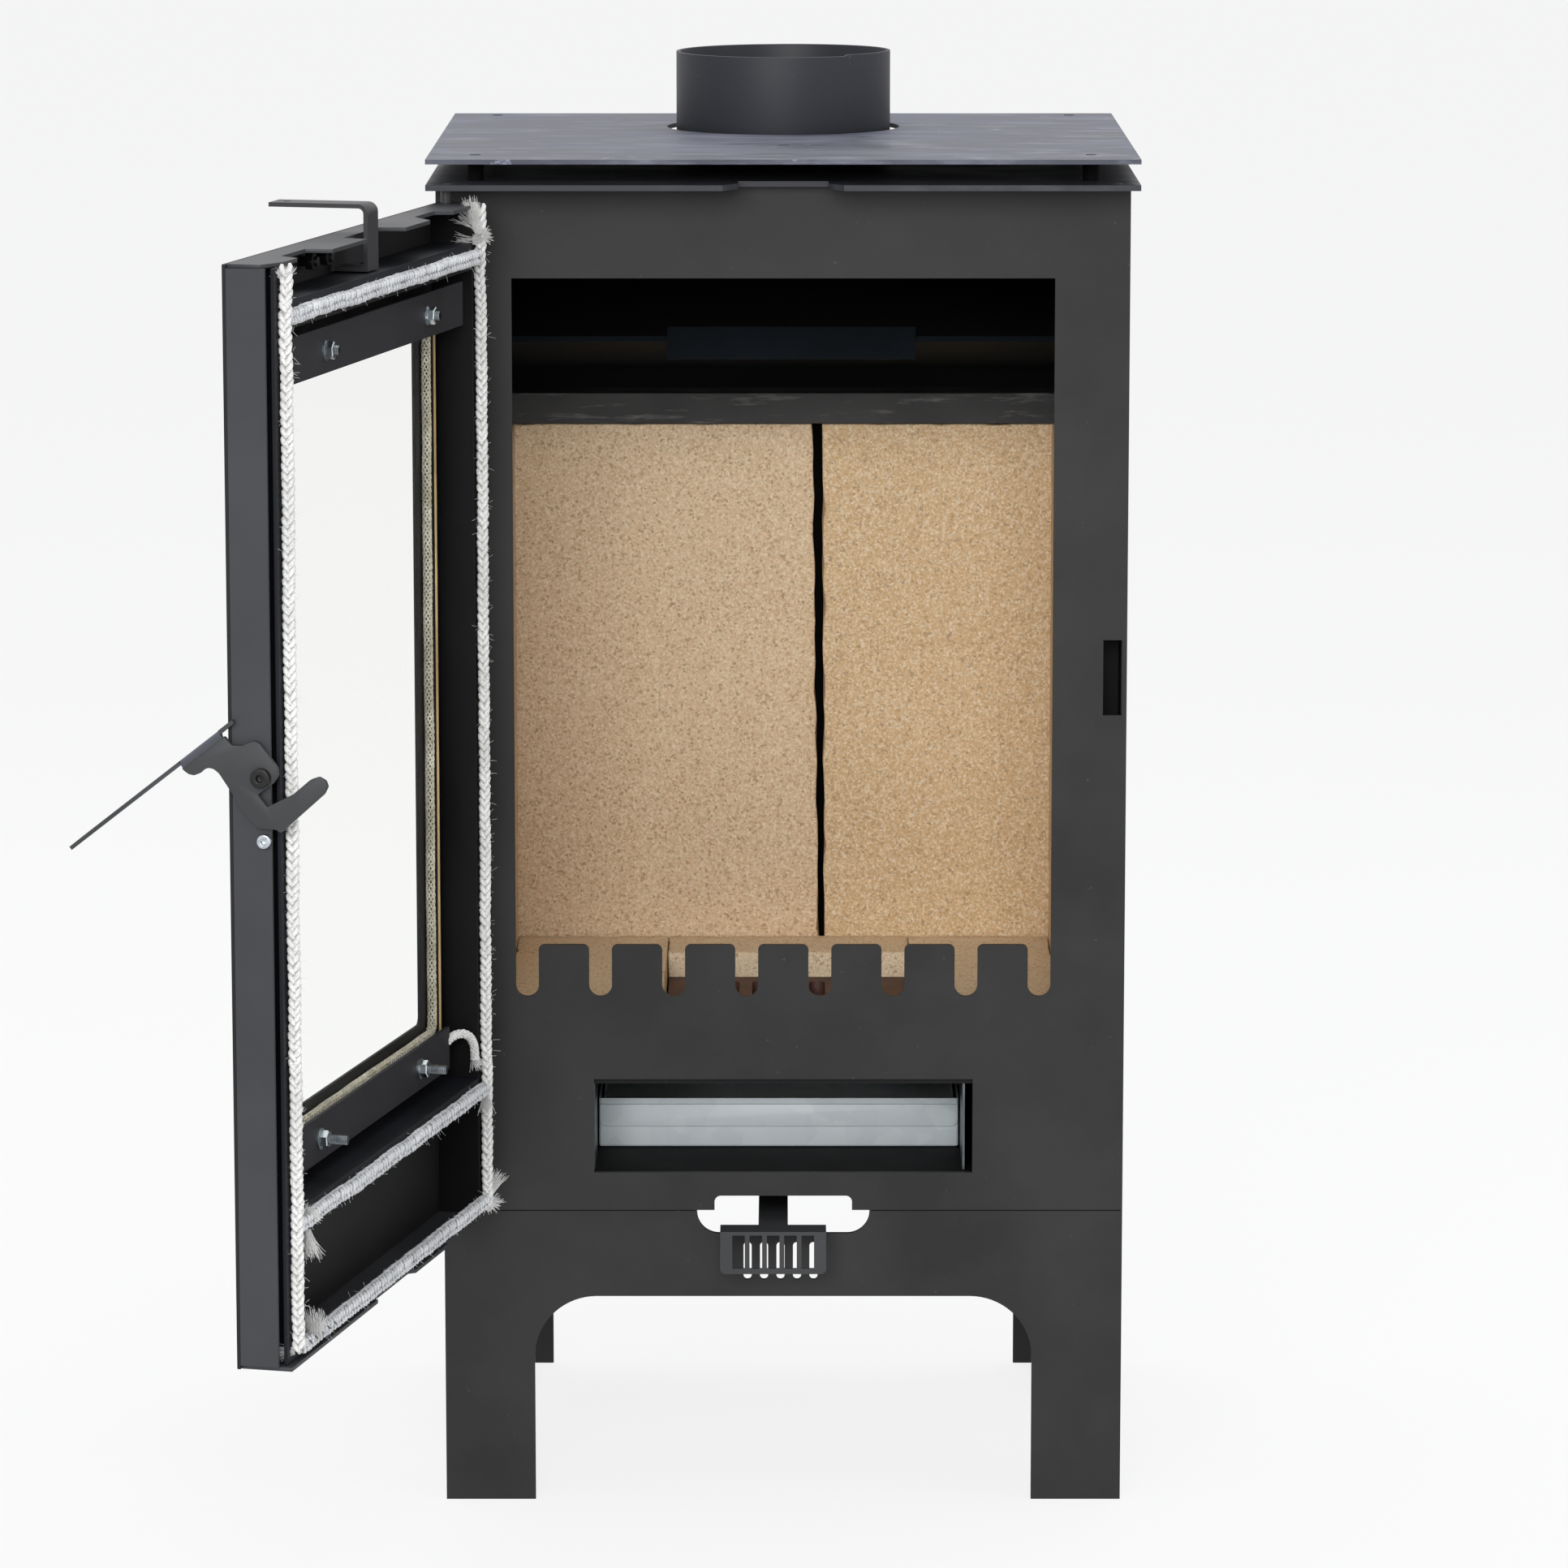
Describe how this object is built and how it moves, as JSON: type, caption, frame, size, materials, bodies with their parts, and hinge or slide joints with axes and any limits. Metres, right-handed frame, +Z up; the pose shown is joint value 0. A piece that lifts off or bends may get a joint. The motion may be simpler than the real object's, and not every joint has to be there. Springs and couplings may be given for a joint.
{
  "type": "wood stove",
  "caption": "Free-standing sheet-steel wood stove with a hinged glass door, brick-lined firebox, ash pan, air controls and a top flue collar.",
  "frame": {"origin": "centre of the stand's footprint, on the floor", "axes": "+Z up, the door side faces -Y, +X to the right seen from the front"},
  "size_m": [0.5372, 0.6799, 0.7815],
  "materials": {
    "stove_paint": "dark charcoal heat-resistant paint, satin",
    "top_plate_paint": "bluish grey heat-resistant paint, wiped and smudged",
    "collar_paint": "dark blue-grey heat-resistant paint, satin",
    "sooty_steel": "nearly black primed steel inside the firebox",
    "vermiculite": "pressed vermiculite board, tan and granular",
    "cast_iron": "brown primed casting",
    "galvanised_sheet": "bright galvanised sheet",
    "glass_fibre_rope": "braided white glass fibre rope",
    "stove_glass": "clear glass ceramic with a golden edge",
    "zinc_plated_steel": "zinc plated"
  },
  "bodies": {
    "stove": {"front_plate": "stove_paint", "left_side_plate": "stove_paint", "right_side_plate": "stove_paint", "back_plate": "stove_paint", "ash_floor": "sooty_steel", "firebed_shelf": "sooty_steel", "lower_top_plate": "top_plate_paint", "upper_top_plate": "top_plate_paint", "top_spacers": "stove_paint", "spacer_screws": "top_plate_paint", "flue_collar": "collar_paint", "stand_front": "stove_paint", "stand_rear": "stove_paint", "stand_left": "stove_paint", "stand_right": "stove_paint", "lower_hinge_lug": "stove_paint", "back_brick_left": "vermiculite", "back_brick_right": "vermiculite", "side_brick_left": "vermiculite", "side_brick_right": "vermiculite", "base_brick_left": "vermiculite", "base_brick_right": "vermiculite", "base_brick_rear": "vermiculite", "base_brick_front": "vermiculite", "grate": "cast_iron", "brick_rail": "sooty_steel", "brick_retainers": "sooty_steel", "baffle_plate": "sooty_steel", "baffle_tab": "sooty_steel", "baffle_rests": "sooty_steel", "ash_guides": "sooty_steel", "shutter_guides": "sooty_steel"},
    "door": {"door_skin": "stove_paint", "door_top_plate": "stove_paint", "door_bottom_plate": "stove_paint", "door_hinge_edge": "stove_paint", "door_latch_edge": "stove_paint", "hinge_pins": "zinc_plated_steel", "rope_seat_hinge": "stove_paint", "rope_seat_latch": "stove_paint", "rope_seat_top": "stove_paint", "rope_seat_mid": "stove_paint", "seal_rope_hinge": "glass_fibre_rope", "seal_rope_latch": "glass_fibre_rope", "seal_rope_top": "glass_fibre_rope", "seal_rope_mid": "glass_fibre_rope", "seal_rope_bottom": "glass_fibre_rope", "window_glass": "stove_glass", "glass_rope": "glass_fibre_rope", "glass_clip_top": "stove_paint", "glass_clip_bottom": "stove_paint", "glass_clip_studs": "zinc_plated_steel", "glass_clip_nuts": "zinc_plated_steel", "channel_bolts": "sooty_steel", "latch_pivot_bolt": "stove_paint", "latch_stop_screw": "zinc_plated_steel"},
    "latch": {"latch_handle": "stove_paint"},
    "airwash": {"airwash_slide": "stove_paint"},
    "primary_air": {"primary_air_slider": "stove_paint"},
    "ash_drawer": {"ash_pan": "galvanised_sheet"}
  },
  "joints": [
    {"name": "door_hinge", "type": "hinge", "parent": "stove", "child": "door", "pos_m": [-0.178, -0.174, 0.45], "axis": [0, 0, 1], "range_deg": [-20, 104]},
    {"name": "latch_pivot", "type": "hinge", "parent": "door", "child": "latch", "pos_m": [-0.2518, -0.52044, 0.467], "axis": [-0.2419, -0.9703, 0], "range_deg": [-6, 35]},
    {"name": "airwash_slide", "type": "slide", "parent": "door", "child": "airwash", "axis": [-0.2419, -0.9703, 0], "range_m": [-0.012, 0.012]},
    {"name": "primary_air_slide", "type": "slide", "parent": "stove", "child": "primary_air", "axis": [1, 0, 0], "range_m": [-0.022, 0.033]},
    {"name": "ash_pan_slide", "type": "slide", "parent": "stove", "child": "ash_drawer", "axis": [0, 1, 0], "range_m": [-0.15, 0]}
  ]
}
